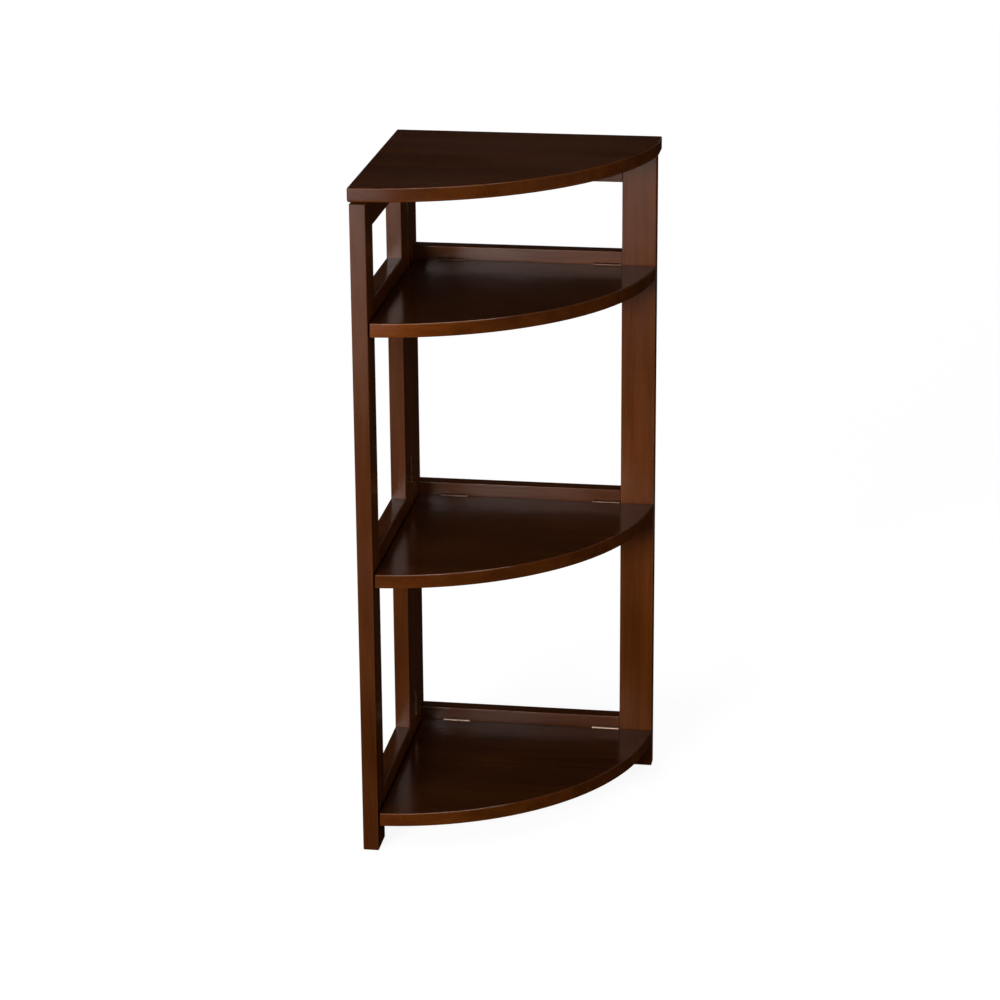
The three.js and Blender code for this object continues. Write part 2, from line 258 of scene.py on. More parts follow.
def stain_colour(tree, figure, fibres, pores, cloud):
    """The stain in the grain, deep in the pores, and lighter in patches of eased edges, partly as
    rubbed wear and partly as a painted highlight.
    """
    drawn = reckon(tree, "MULTIPLY", figure, FIGURE_SHARE)
    grain = reckon(tree, "MULTIPLY_ADD", fibres, FIBRE_SHARE, drawn)
    stain = add_node(tree, "ShaderNodeValToRGB", {"Fac": grain})
    ramp = stain.color_ramp
    ramp.elements[0].position = DARK_AT
    ramp.elements[0].color = STAIN_DARK
    ramp.elements[1].position = LIGHT_AT
    ramp.elements[1].color = STAIN_LIGHT
    ramp.elements.new(MIDDLE_AT).color = STAIN_MIDDLE
    in_pores = spread(tree, pores, PORE_RANGE, (0.0, PORE_SHARE))
    pored = blended(tree, in_pores, stain.outputs["Color"], STAIN_IN_PORES)
    patchy = reckon(tree, "MULTIPLY", cloud, RUBBED_AND_HIGHLIT_SHARE)
    # Eased edges lighter in patches: partly rubbed wear, partly a painted highlight
    rubbed_and_highlit = reckon(tree, "MULTIPLY", marked(tree, "eased"), patchy)
    return blended(tree, rubbed_and_highlit, pored, STAIN_RUBBED_AND_HIGHLIT)


def stain_tone(tree, place, cloud, painted_lightness, painted_rim_light):
    """How light the stain is: cloudy, with painted light and shade from the painted lightness,
    painted shade towards the feet, and painted light on a rim.
    """
    axes = add_node(tree, "ShaderNodeSeparateXYZ", {0: place}).outputs
    # The painted lightness is painted light and shade on the whole board
    clouded = spread(tree, cloud, CLOUD_RANGE, [share * painted_lightness for share in TONE_SHARES])
    # Painted shade, darker towards the feet
    painted_foot_shade = spread(tree, axes["Z"], PAINTED_FOOT_SHADE_RANGE, (PAINTED_FOOT_SHADE_SHARE, 1.0))
    tone = reckon(tree, "MULTIPLY", clouded, painted_foot_shade)
    # Painted light and shade on the rim, changing along x between its two numbers
    if painted_rim_light:
        painted_gains = [share - 1 for share in painted_rim_light]
        painted_gain = spread(tree, axes["X"], PAINTED_RIM_LIGHT_RANGE, painted_gains, "SMOOTHSTEP")
        painted_rim_lift = reckon(tree, "MULTIPLY_ADD", marked(tree, "painted_rim_light"), painted_gain, 1.0)
        tone = reckon(tree, "MULTIPLY", tone, painted_rim_lift)
    return tone


def lacquered_wood(name, grain, shift, painted_lightness=1.0, roughness=0.21, painted_rim_light=None, ior=1.5):
    """Dark stain under satin lacquer.

    The grain is the axis that it runs along, and the shift moves its pattern. The painted lightness
    is painted light and shade on the whole board. The painted rim light says how many times as
    light the stain is painted on a board's rim, at its left end and further right.
    """
    material, tree = blank_material(name)
    place = object_place(tree)
    turning = {"Vector": place, "Location": shift, "Rotation": GRAIN_TURN[grain]}
    turned = add_node(tree, "ShaderNodeMapping", turning).outputs[0]
    figure, fibres, pores, cloud = [
        grain_pattern(tree, turned, **pattern) for pattern in (FIGURE, FIBRES, PORES, CLOUD)
    ]
    colour = stain_colour(tree, figure, fibres, pores, cloud)
    tone = stain_tone(tree, place, cloud, painted_lightness, painted_rim_light)
    toned = add_node(tree, "ShaderNodeVectorMath", {0: colour, "Scale": tone}, operation="SCALE")
    sunk = reckon(tree, "MULTIPLY", pores, PORE_SINK)
    skin = reckon(tree, "MULTIPLY_ADD", fibres, FIBRE_RISE, sunk)
    drift = [roughness + step for step in LACQUER_DRIFT]
    lacquer = {
        "Base Color": toned.outputs[0],
        "Roughness": spread(tree, cloud, CLOUD_RANGE, drift),
        "Normal": relief(tree, skin, LACQUER_RELIEF_STRENGTH, LACQUER_RELIEF),
        "IOR": ior,
        "Specular IOR Level": 0.5,
    }
    show_surface(tree, add_node(tree, "ShaderNodeBsdfPrincipled", lacquer).outputs[0])
    return material


# Plated metal

BRASS, BRASS_TARNISH_AND_SHADE = (0.34, 0.235, 0.17, 1), (0.09, 0.045, 0.03, 1)
STEEL, STEEL_DULL = (0.56, 0.52, 0.46, 1), (0.24, 0.20, 0.16, 1)
PATCHES = {"scale": 320.0, "detail": 3.0}
BRUSHING = {"scale": 2600.0, "detail": 2.0}
TARNISH_RANGE, TARNISH_SHARE = (0.5, 0.75), 0.6
# Painted shade on the metal grows from none to its full share between these heights
PAINTED_SHADE_HEIGHTS = (0.05, 0.4)
DULL_RANGE, DULL_DRIFT = (0.3, 0.7), (-0.06, 0.12)
METAL_RELIEF, METAL_RELIEF_STRENGTH = 0.08 * MM, 0.12


def plated_metal(name, colour, tarnish_and_shade, roughness, painted_shade_share=0.0):
    """Rolled and plated metal, dulled in patches, and darker higher up by painted shade, at the
    painted shade share.
    """
    material, tree = blank_material(name)
    place = object_place(tree)
    patches = noise(tree, place, **PATCHES)
    brushing = noise(tree, place, **BRUSHING)
    height = add_node(tree, "ShaderNodeSeparateXYZ", {0: place}).outputs["Z"]
    patchy = spread(tree, patches, TARNISH_RANGE, (0.0, TARNISH_SHARE))
    # Painted shade: darker higher up
    painted_height_shade = spread(tree, height, PAINTED_SHADE_HEIGHTS, (0.0, painted_shade_share))
    dulled = [roughness + step for step in DULL_DRIFT]
    plate = {
        "Base Color": blended(tree, reckon(tree, "MAXIMUM", patchy, painted_height_shade), colour, tarnish_and_shade),
        "Metallic": 1.0,
        "Roughness": spread(tree, patches, DULL_RANGE, dulled),
        "Normal": relief(tree, brushing, METAL_RELIEF_STRENGTH, METAL_RELIEF),
    }
    show_surface(tree, add_node(tree, "ShaderNodeBsdfPrincipled", plate).outputs[0])
    return material


# Finishes of all pieces

# Painted light on the rims of the shelves, lighter at their left ends; the top's rim is made darker
# as painted shade
SHELF_PAINTED_RIM_LIGHT = {"low": (2.0, 1.4), "mid": (1.25, 1.15), "high": (2.8, 1.12)}
# A board's painted lightness is painted light and shade: it makes the back stile and the top
# lighter and the rests and the shelves darker than their stain
finishes = {
    "post": lacquered_wood("stained_post_wood", "z", (0.31, 0.12, 0.07)),
    "back_stile": lacquered_wood(
        "stained_back_stile_wood", "z", (0.83, 0.44, 0.19), painted_lightness=1.3
    ),
    "rear_stile": lacquered_wood("stained_rear_stile_wood", "z", (0.57, 0.91, 0.38)),
    "front_stile": lacquered_wood("stained_front_stile_wood", "z", (0.14, 0.66, 0.52)),
    "back_rail": lacquered_wood("stained_back_rail_wood", "x", (0.22, 0.35, 0.61)),
    "side_rail": lacquered_wood("stained_side_rail_wood", "y", (0.48, 0.27, 0.74)),
    "rest": lacquered_wood(
        "stained_rest_wood", "y", (0.71, 0.58, 0.13), painted_lightness=0.9, roughness=0.34
    ),
    "top": lacquered_wood(
        "stained_top_wood",
        "x",
        (0.92, 0.18, 0.45),
        painted_lightness=1.22,
        roughness=0.2,
        painted_rim_light=(0.92, 0.8),
    ),
    # The hinges and pins get painted shade higher up, the corner hinges less
    "hinge": plated_metal("brassed_hinge_plate", BRASS, BRASS_TARNISH_AND_SHADE, 0.3, painted_shade_share=0.95),
    "corner_hinge": plated_metal(
        "brassed_corner_hinge_plate", BRASS, BRASS_TARNISH_AND_SHADE, 0.3, painted_shade_share=0.3
    ),
    "pin": plated_metal("brassed_pin", BRASS, BRASS_TARNISH_AND_SHADE, 0.24, painted_shade_share=0.95),
    "screw": plated_metal("zinc_screw", STEEL, STEEL_DULL, 0.34),
}
for level in LEVELS:
    finishes["shelf_" + level] = lacquered_wood(
        f"stained_{level}_shelf_wood",
        "x",
        (0.36, 0.83, 0.29),
        painted_lightness=0.86,
        roughness=0.18,
        painted_rim_light=SHELF_PAINTED_RIM_LIGHT[level],
        ior=1.66,
    )


# Meshes


def add_object(name, data):
    made = bpy.data.objects.new(name, data)
    bpy.context.scene.collection.objects.link(made)
    return made


def settled(piece):
    """The piece with its modifiers worked into its mesh and then taken off."""
    bpy.context.view_layer.update()
    depsgraph = bpy.context.evaluated_depsgraph_get()
    mesh = bpy.data.meshes.new_from_object(
        piece.evaluated_get(depsgraph), preserve_all_data_layers=True, depsgraph=depsgraph
    )
    piece.modifiers.clear()
    piece.data = mesh
    return piece


def opened(mesh):
    """A shape to work on, read from a mesh."""
    shape = bmesh.new()
    shape.from_mesh(mesh)
    return shape


def written(shape, mesh):
    """The mesh, with the worked shape put into it."""
    shape.to_mesh(mesh)
    shape.free()
    return mesh


def block(low, high):
    """A closed box mesh between two corners."""
    shape = bmesh.new()
    middle = (Vector(low) + Vector(high)) / 2
    size = Vector(high) - Vector(low)
    sizing = Matrix.Translation(middle) @ Matrix.Diagonal([*map(abs, size), 1])
    bmesh.ops.create_cube(shape, size=1, matrix=sizing)
    return written(shape, bpy.data.meshes.new("block"))


def reach_along(edge, axis):
    """How far an edge of a shape goes along an axis."""
    start, stop = edge.verts
    return abs(stop.co[axis] - start.co[axis])


def rounded_over(shape, edges, ease, steps):
    """Rounds these edges of a shape over and turns its faces outwards."""
    bmesh.ops.bevel(
        shape,
        geom=edges,
        offset=ease,
        offset_type="OFFSET",
        segments=steps,
        profile=0.5,
        affect="EDGES",
    )
    bmesh.ops.recalc_face_normals(shape, faces=shape.faces)


def combine(piece, operation, meshes):
    """Joins the meshes to the piece, or cuts them out of it."""
    tools = [add_object("tool", mesh) for mesh in meshes]
    for tool in tools:
        cut = piece.modifiers.new("cut", "BOOLEAN")
        cut.operation = operation
        cut.solver = "EXACT"
        cut.object = tool
    settled(piece)
    for tool in tools:
        bpy.data.objects.remove(tool)


def smoothed(piece):
    """Rounds the shading over eased edges and keeps flat faces flat."""
    mesh = piece.data
    mesh.shade_smooth()
    mesh.set_sharp_from_angle(angle=SHARP_ANGLE)
    weighted = piece.modifiers.new("weighted", "WEIGHTED_NORMAL")
    weighted.keep_sharp = True
    weighted.weight = FLAT_FACE_WEIGHT
    return settled(piece)


def mark_faces(mesh, mark, belongs):
    """Marks faces for the finish: eased ones, which are rubbed and carry a painted highlight, and
    those of a rim, which get painted light.
    """
    attribute = mesh.attributes.new(mark, "FLOAT", "FACE")
    attribute.data.foreach_set("value", [float(belongs(face)) for face in mesh.polygons])


def rounded(face):
    """Whether a board's face lies on an eased edge, so square to no axis."""
    return max(map(abs, face.normal)) <= SQUARE_SHARE


def finish_piece(piece, body, slot, material, *nodes):
    piece.data.materials.clear()
    piece.data.materials.append(material)
    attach(piece, body)
    if nodes:
        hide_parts(*nodes)


# Recesses for the hinges


def panel_hinges(level):
    """The names of a shelf's two hinges, or of the top's."""
    stem = "top_hinge_" if level == "top" else f"shelf_{level}_hinge_"
    return [stem + end for end in ("left", "right")]


def hinge_frame(name):
    """Where a hinge sits: its pin along x, its moving side towards +y, its leaves along +z."""
    low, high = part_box(name + "_pin")
    middle = (low + high) / 2
    if name.startswith("shelf"):
        axes = ((1, 0, 0), (0, -1, 0), (0, 0, -1))
    elif name.startswith("top"):
        axes = ((1, 0, 0), (0, 0, 1), (0, -1, 0))
    else:
        axes = ((0, 0, -1), (0, -1, 0), (-1, 0, 0))
    turn = Matrix([Vector(axis) for axis in axes]).transposed().to_4x4()
    return Matrix.Translation(middle) @ turn


def hinge_recess(name, side, notch_reach):
    """The pocket and the knuckle notch that one leaf of a hinge needs in the wood."""
    where = hinge_frame(name)
    half = HINGE_LENGTH / 2 + CLEARANCE
    depth = LEAF_GAP / 2 + LEAF_THICKNESS + CLEARANCE
    pocket = block((-half, -side * OVERCUT, 0), (half, side * depth, LEAF_WIDTH + CLEARANCE))
    notch = block(
        (-half, -side * OVERCUT, -notch_reach), (half, side * KNUCKLE_NOTCH, KNUCKLE_NOTCH)
    )
    for mesh in (pocket, notch):
        mesh.transform(where)
    return [pocket, notch]


def panel_recesses(level, side):
    """What a panel's two hinges need in the back rail or in the panel."""
    reach = TOP_NOTCH_REACH if level == "top" else KNUCKLE_NOTCH
    return [mesh for name in panel_hinges(level) for mesh in hinge_recess(name, side, reach)]


# Boards of the two frames, and the rests


def eased_block(low, high, ease, along=None):
    """A board with its edges along one axis rounded over, or all its edges if none is given."""
    mesh = block(low, high)
    shape = opened(mesh)
    edges = [edge for edge in shape.edges if along is None or reach_along(edge, along) > ease]
    rounded_over(shape, edges, ease, BOARD_EASE_STEPS)
    return written(shape, mesh)


def tenon_bar(rail, along, clearance=0.0):
    """The tenons at both ends of a rail as one bar, or with a clearance the mortises for them."""
    low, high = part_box(rail)
    across = 1 - along
    middle = (low[across] + high[across]) / 2
    low[across] = middle - TENON_THICKNESS / 2
    high[across] = middle + TENON_THICKNESS / 2
    low.z += TENON_SHOULDER
    high.z -= TENON_SHOULDER
    spare = Vector((clearance, clearance, clearance))
    return block(low - spare, high + spare)


def rest_screws(level):
    """The names of a rest's two screws. Under the top there is no rest."""
    if level not in LEVELS:
        return []
    return [f"rest_screw_{level}_{end}" for end in ("rear", "front")]


def rest_screw_line(node):
    """The y and z of a rest's screw, which lies along x."""
    low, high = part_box(node)
    return (low.y + high.y) / 2, (low.z + high.z) / 2


def screw_hole(node):
    """The countersunk hole for a rest's screw, whose head faces along x."""
    low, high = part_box(node)
    y, z = rest_screw_line(node)
    shank, head = (REST_SCREW[part] + CLEARANCE for part in ("shank", "head"))
    steps = (
        (low.x - CLEARANCE, shank),
        (high.x - REST_SCREW["depth"], shank),
        (high.x, head),
        (high.x + OVERCUT, head),
    )
    shape = bmesh.new()
    turns = [index * math.tau / REST_HOLE_SIDES for index in range(REST_HOLE_SIDES)]
    rings = [
        [
            shape.verts.new((x, y + radius * math.cos(turn), z + radius * math.sin(turn)))
            for turn in turns
        ]
        for x, radius in steps
    ]
    for ring, following in zip(rings, rings[1:]):
        for index in range(REST_HOLE_SIDES):
            after = (index + 1) % REST_HOLE_SIDES
            shape.faces.new((ring[index], ring[after], following[after], following[index]))
    shape.faces.new(rings[0])
    shape.faces.new(rings[-1])
    bmesh.ops.recalc_face_normals(shape, faces=shape.faces)
    return written(shape, bpy.data.meshes.new("screw_hole"))


def cut_board(node, mesh, finish, cutters, tenons=None):
    """A board of the frames, given its tenons, cut for what goes into it and finished."""
    board = add_object(node + "_board", mesh)
    if tenons:
        combine(board, "UNION", [tenons])
    combine(board, "DIFFERENCE", cutters)
    mark_faces(board.data, "eased", rounded)
    smoothed(board)
    finish_piece(board, "frames", "frame_wood", finishes[finish], node)


def make_uprights():
    corner_hinges = ["corner_hinge_" + level for level in LEVELS]
    for node, finish, rails, along, side in (
        ("corner_post", "post", "back_rail_", ALONG_X, FIXED),
        ("right_stile", "back_stile", "back_rail_", ALONG_X, None),
        ("rear_stile", "rear_stile", "side_rail_", ALONG_Y, MOVING),
        ("front_stile", "front_stile", "side_rail_", ALONG_Y, None),
    ):
        cutters = [tenon_bar(rails + level, along, CLEARANCE) for level in RAIL_LEVELS]
        if side:
            for hinge in corner_hinges:
                cutters += hinge_recess(hinge, side, KNUCKLE_NOTCH)
        cut_board(node, eased_block(*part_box(node), BOARD_EASE, ALONG_Z), finish, cutters)


def make_rail(node, along, start, stop, finish, cutters):
    """A rail between two uprights, from start to stop without its tenons."""
    low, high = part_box(node)
    low[along] = start + CLEARANCE
    high[along] = stop - CLEARANCE
    mesh = eased_block(low, high, BOARD_EASE, along)
    cut_board(node, mesh, finish, cutters, tenon_bar(node, along))


def make_rails():
    post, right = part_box("corner_post"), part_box("right_stile")
    for level in RAIL_LEVELS:
        node = "back_rail_" + level
        recesses = panel_recesses(level, FIXED)
        make_rail(node, ALONG_X, post[1].x, right[0].x, "back_rail", recesses)
    front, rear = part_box("front_stile"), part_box("rear_stile")
    for level in RAIL_LEVELS:
        node = "side_rail_" + level
        holes = [screw_hole(screw) for screw in rest_screws(level)]
        make_rail(node, ALONG_Y, front[1].y, rear[0].y, "side_rail", holes)


def make_rests():
    for level in LEVELS:
        node = "shelf_rest_" + level
        holes = [screw_hole(screw) for screw in rest_screws(level)]
        cut_board(node, eased_block(*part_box(node), REST_EASE), "rest", holes)


# Geometry trees


def measures(*labels):
    """Inputs with these names, each for a measure."""
    return dict.fromkeys(labels, "Float")


def sized_tree(name, result, inputs):
    """A geometry tree with named inputs, a finish and a result, and the sockets that give them."""
    tree = bpy.data.node_groups.new(name, "GeometryNodeTree")
    for label, kind in (*inputs.items(), ("Finish", "Material")):
        tree.interface.new_socket(name=label, in_out="INPUT", socket_type="NodeSocket" + kind)
    tree.interface.new_socket(name=result, in_out="OUTPUT", socket_type="NodeSocketGeometry")
    return tree, add_node(tree, "NodeGroupInput").outputs


def end_tree(tree, shape, finish):
    """Hands the shape out of the tree, made real and with the finish set on it."""
    real = add_node(tree, "GeometryNodeRealizeInstances", {"Geometry": shape}).outputs[0]
    dressed = add_node(tree, "GeometryNodeSetMaterial", {"Geometry": real, "Material": finish})
    add_node(tree, "NodeGroupOutput", {0: dressed.outputs[0]})
    return tree


def moved(tree, shape, spot=(0, 0, 0), turn=(0, 0, 0)):
    placing = {"Geometry": shape, "Translation": spot, "Rotation": turn}
    return add_node(tree, "GeometryNodeTransform", placing).outputs[0]


def united(tree, parts):
    whole = add_node(tree, "GeometryNodeMeshBoolean", operation="UNION", solver="EXACT")
    for part in parts:
        tree.links.new(part, whole.inputs["Mesh 2"])
    return whole.outputs[0]


def carved(tree, shape, cutters):
    cut = add_node(
        tree,
        "GeometryNodeMeshBoolean",
        {"Mesh 1": shape},
        operation="DIFFERENCE",
        solver="EXACT",
    )
    for cutter in cutters:
        tree.links.new(cutter, cut.inputs["Mesh 2"])
    return cut.outputs[0]


def merged(tree, shape):
    joining = {"Geometry": shape, "Distance": MERGE_REACH}
    return add_node(tree, "GeometryNodeMergeByDistance", joining).outputs[0]


def cone(tree, sides, top, bottom, depth):
    sizes = {"Vertices": sides, "Radius Top": top, "Radius Bottom": bottom, "Depth": depth}
    return add_node(tree, "GeometryNodeMeshCone", sizes).outputs[0]


def grown(name, tree, sizes, source=None):
    """A new piece made by a geometry tree with these sizes."""
    piece = add_object(name, source or bpy.data.meshes.new(name))
    grow = piece.modifiers.new("grow", "NODES")
    grow.node_group = tree
    for item in tree.interface.items_tree:
        if item.in_out == "INPUT" and item.name in sizes:
            grow[item.identifier] = sizes[item.name]
    return piece


# Quarter-round shelves and the top


def board_outline(tree, given):
    """Where the points lie: the rear left corner's, those of the curve, the rear right corner's."""
    index = add_node(tree, "GeometryNodeInputIndex").outputs[0]
    steps = given["Arc Steps"]
    # Point 0 is the rear left corner, so the curve starts at point 1
    way = reckon(tree, "DIVIDE", reckon(tree, "SUBTRACT", index, 1.0), steps)
    sweep = reckon(tree, "SUBTRACT", given["To Angle"], given["From Angle"])
    angle = reckon(tree, "MULTIPLY_ADD", way, sweep, given["From Angle"])
    radius = given["Radius"]
    across = reckon(
        tree, "MULTIPLY_ADD", reckon(tree, "COSINE", angle), radius, given["Centre X"]
    )
    forward = reckon(tree, "MULTIPLY_ADD", reckon(tree, "SINE", angle), radius, given["Centre Y"])
    first = reckon(tree, "LESS_THAN", index, 0.5)
    last = reckon(tree, "GREATER_THAN", index, reckon(tree, "ADD", steps, 1.5))
    corner = reckon(tree, "ADD", first, last)

    def either(choose, kept, other):
        choice = {0: choose, 2: kept, 3: other}
        return add_node(tree, "ShaderNodeMix", choice, data_type="FLOAT").outputs[0]

    x = either(last, either(first, across, given["Left"]), given["Right"])
    y = either(corner, forward, given["Rear"])
    return vector(tree, x, y)


def curved_board_tree():
    """A board with two straight sides and a curved front, from named sizes."""
    inputs = {
        **measures("Left", "Right", "Rear", "Underside", "Thickness"),
        **measures("Centre X", "Centre Y", "Radius", "From Angle", "To Angle"),
        "Arc Steps": "Int",
    }
    tree, given = sized_tree("curved_board", "Board", inputs)
    # The curve has one point more than it has steps, and there are the two rear corners
    count = reckon(tree, "ADD", given["Arc Steps"], 3.0)
    line = add_node(tree, "GeometryNodeMeshLine", {"Count": count}).outputs[0]
    outline = {"Geometry": line, "Position": board_outline(tree, given)}
    drawn = merged(tree, add_node(tree, "GeometryNodeSetPosition", outline).outputs[0])
    curve = add_node(tree, "GeometryNodeMeshToCurve", {"Mesh": drawn}).outputs[0]
    closing = {"Geometry": curve, "Cyclic": True}
    ring = add_node(tree, "GeometryNodeSetSplineCyclic", closing).outputs[0]
    filled = add_node(tree, "GeometryNodeFillCurve", {"Curve": ring}, mode="NGONS").outputs[0]
    sheet = moved(tree, filled, vector(tree, z=given["Underside"]))
    rise = {
        "Mesh": sheet,
        "Offset": vector(tree, z=given["Thickness"]),
        "Offset Scale": 1.0,
        "Individual": False,
    }
    raised = add_node(tree, "GeometryNodeExtrudeMesh", rise).outputs[0]
    under = add_node(tree, "GeometryNodeFlipFaces", {"Mesh": sheet}).outputs[0]
    both = add_node(tree, "GeometryNodeJoinGeometry")
    for part in (raised, under):
        tree.links.new(part, both.inputs[0])
    return end_tree(tree, merged(tree, both.outputs[0]), given["Finish"])


BOARD_TREE = curved_board_tree()


def mark_easing(mesh, middle_z, other_share):
    """Weights for the bevel: the edges under the board in full, the others in part."""
    shape = opened(mesh)
    weights = shape.edges.layers.float.new("bevel_weight_edge")
    for edge in shape.edges:
        if edge.calc_face_angle(0) > PANEL_CORNER:
            under = all(vert.co.z < middle_z for vert in edge.verts)
            edge[weights] = 1.0 if under else other_share
    written(shape, mesh)


def on_panel_easing(face):
    """Whether a panel's face is one of the narrow ones on an eased edge."""
    tilted = TILT_SHARE < abs(face.normal.z) < SQUARE_SHARE
    return tilted and face.area < LARGEST_EASED_FACE


def on_rim(face):
    return abs(face.normal.z) < RIM_SHARE


def curved_board(name, sizes, under_ease, cutters):
    """A panel with its lower edges eased by under_ease and the others as the shelves' are."""
    piece = settled(grown(name, BOARD_TREE, {**sizes, "Arc Steps": ARC_STEPS}))
    middle_z = sizes["Underside"] + sizes["Thickness"] / 2
    mark_easing(piece.data, middle_z, SHELF_EASE / under_ease)
    easing = piece.modifiers.new("easing", "BEVEL")
    easing.limit_method = "WEIGHT"
    easing.width = under_ease
    easing.segments = PANEL_EASE_STEPS
    settled(piece)
    combine(piece, "DIFFERENCE", cutters)
    mark_faces(piece.data, "eased", on_panel_easing)
    mark_faces(piece.data, "painted_rim_light", on_rim)
    return smoothed(piece)


def make_panel(node, body, level, curve, under_ease):
    """A shelf or the top: the curve gives the sizes of its front and its right end."""
    low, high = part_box(node)
    sizes = {
        "Left": low.x,
        "Rear": high.y,
        "Underside": low.z,
        "Thickness": high.z - low.z,
        "Finish": finishes[node],
        **curve,
    }
    board = curved_board(node + "_board", sizes, under_ease, panel_recesses(level, MOVING))
    finish_piece(board, body, "panel_wood", finishes[node], node)


def make_shelves():
    """Shelves whose fronts are rounded about the corner post's outer corner."""
    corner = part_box("corner_post")
    centre_x, centre_y = corner[0].x, corner[1].y
    for level in LEVELS:
        node = "shelf_" + level
        low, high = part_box(node)
        from_angle = math.acos((low.x - centre_x) / SHELF_RADIUS)
        to_angle = math.asin((centre_y - high.y) / SHELF_RADIUS)
        curve = {
            "Right": centre_x + SHELF_RADIUS * math.cos(to_angle),
            "Centre X": centre_x,
            "Centre Y": centre_y,
            "Radius": SHELF_RADIUS,
            "From Angle": -from_angle,
            "To Angle": -to_angle,
        }
        make_panel(node, level + "_shelf", level, curve, SHELF_EASE)


def make_top():
    """The top, whose curved front runs from its front left corner to a short right side."""
    low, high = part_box("top")
    start = low.xy
    end = Vector((high.x, high.y - TOP_RIGHT_DEPTH))
    chord = end - start
    inward = Vector((-chord.y, chord.x)).normalized()
    to_centre = math.sqrt(TOP_RADIUS**2 - chord.length_squared / 4)
    centre = (start + end) / 2 + inward * to_centre
    curve = {
        "Right": high.x,
        "Centre X": centre.x,
        "Centre Y": centre.y,
        "Radius": TOP_RADIUS,
        "From Angle": math.atan2(start.y - centre.y, start.x - centre.x),
        "To Angle": math.atan2(end.y - centre.y, end.x - centre.x),
    }
    make_panel("top", "top_panel", "top", curve, TOP_UNDER_EASE)


# Hinges


def row_of(tree, shape, count, spacing):
    """Copies of a shape in a row along x, about its middle."""
    steps = reckon(tree, "SUBTRACT", count, 1.0)
    first = reckon(tree, "MULTIPLY", reckon(tree, "MULTIPLY", steps, spacing), -0.5)
    row = {
        "Count": count,
        "Start Location": vector(tree, first),
        "Offset": vector(tree, spacing),
    }
    points = add_node(tree, "GeometryNodeMeshLine", row, mode="OFFSET").outputs[0]
    copies = {"Points": points, "Instance": shape}
    placed = add_node(tree, "GeometryNodeInstanceOnPoints", copies).outputs[0]
    return add_node(tree, "GeometryNodeRealizeInstances", {"Geometry": placed}).outputs[0]


def rod(tree, radius, length):
    """A round bar along x."""
    sizes = {"Vertices": KNUCKLE_SIDES, "Radius": radius, "Depth": length}
    upright = add_node(tree, "GeometryNodeMeshCylinder", sizes).outputs[0]
    return moved(tree, upright, turn=(0, math.pi / 2, 0))


def leaf_bar(tree, given, length, low_z, high_z):
    """A flat bar of the leaf's thickness, on the leaf's side of the hinge."""
    depth = reckon(tree, "SUBTRACT", high_z, low_z)
    size = vector(tree, length, given["Thickness"], depth)
    bar = add_node(tree, "GeometryNodeMeshCube", {"Size": size}).outputs[0]
    reach = reckon(tree, "ADD", given["Gap"], given["Thickness"])
    half_side = reckon(tree, "MULTIPLY", given["Side"], 0.5)
    offset = reckon(tree, "MULTIPLY", reach, half_side)
    return moved(tree, bar, vector(tree, 0.0, offset, halfway(tree, low_z, high_z)))


def leaf_hole(tree, given, height):
    """The countersunk hole for a leaf's screw, its mouth on the leaf's open face."""
    depth = reckon(tree, "MULTIPLY", given["Thickness"], LEAF_HOLE_DEPTH_SHARE)
    upright = cone(tree, LEAF_HOLE_SIDES, given["Hole Mouth"], given["Hole Foot"], depth)
    inwards = reckon(tree, "MULTIPLY", given["Thickness"], LEAF_HOLE_MIDDLE_SHARE)
    from_middle = reckon(tree, "MULTIPLY_ADD", given["Gap"], 0.5, inwards)
    offset = reckon(tree, "MULTIPLY", given["Side"], from_middle)
    turn = reckon(tree, "MULTIPLY", given["Side"], math.pi / 2)
    return moved(tree, upright, vector(tree, 0.0, offset, height), vector(tree, turn))


def leaf_tree():
    """A hinge leaf: a plate with knuckles rolled on its edge and countersunk holes."""
    inputs = {
        **measures("Side", "Length", "Width", "Thickness", "Gap", "Notch"),
        **measures("Knuckle Radius", "Bore Radius", "Knuckle Length", "Knuckle Spacing"),
        **measures("Hole Spacing", "Hole Mouth", "Hole Foot"),
        "Knuckle Count": "Int",
    }
    tree, given = sized_tree("hinge_leaf", "Leaf", inputs)

    def knuckle_row(shape):
        return row_of(tree, shape, given["Knuckle Count"], given["Knuckle Spacing"])

    plate = leaf_bar(tree, given, given["Length"], given["Notch"], given["Width"])
    neck_low = halfway(tree, given["Bore Radius"], given["Knuckle Radius"])
    neck_high = halfway(tree, given["Notch"], given["Width"])
    neck = leaf_bar(tree, given, given["Knuckle Length"], neck_low, neck_high)
    knuckle = rod(tree, given["Knuckle Radius"], given["Knuckle Length"])
    leaf = united(tree, (plate, knuckle_row(neck), knuckle_row(knuckle)))
    bore_length = reckon(tree, "MULTIPLY", given["Length"], BORE_LENGTH_SHARE)
    bore = rod(tree, given["Bore Radius"], bore_length)
    holes = row_of(tree, leaf_hole(tree, given, neck_high), 2, given["Hole Spacing"])
    return end_tree(tree, carved(tree, leaf, (bore, holes)), given["Finish"])


def screw_turn(tree):
    """Each screw along its mark's own direction, turned about it by chance."""
    named = {"Name": "facing"}
    facing = add_node(
        tree, "GeometryNodeInputNamedAttribute", named, data_type="FLOAT_VECTOR"
    ).outputs[0]
    aimed = add_node(
        tree, "FunctionNodeAlignRotationToVector", {"Vector": facing}, axis="Z"
    ).outputs[0]
    chance = {2: 0.0, 3: math.pi, "Seed": SCREW_TURN_SEED}
    angle = add_node(tree, "FunctionNodeRandomValue", chance, data_type="FLOAT").outputs[1]
    about = {"Axis": (0, 0, 1), "Angle": angle}
    twist = add_node(tree, "FunctionNodeAxisAngleToRotation", about).outputs[0]
    turning = {"Rotation": aimed, "Rotate By": twist}
    turned = add_node(tree, "FunctionNodeRotateRotation", turning, rotation_space="LOCAL")
    return turned.outputs[0]


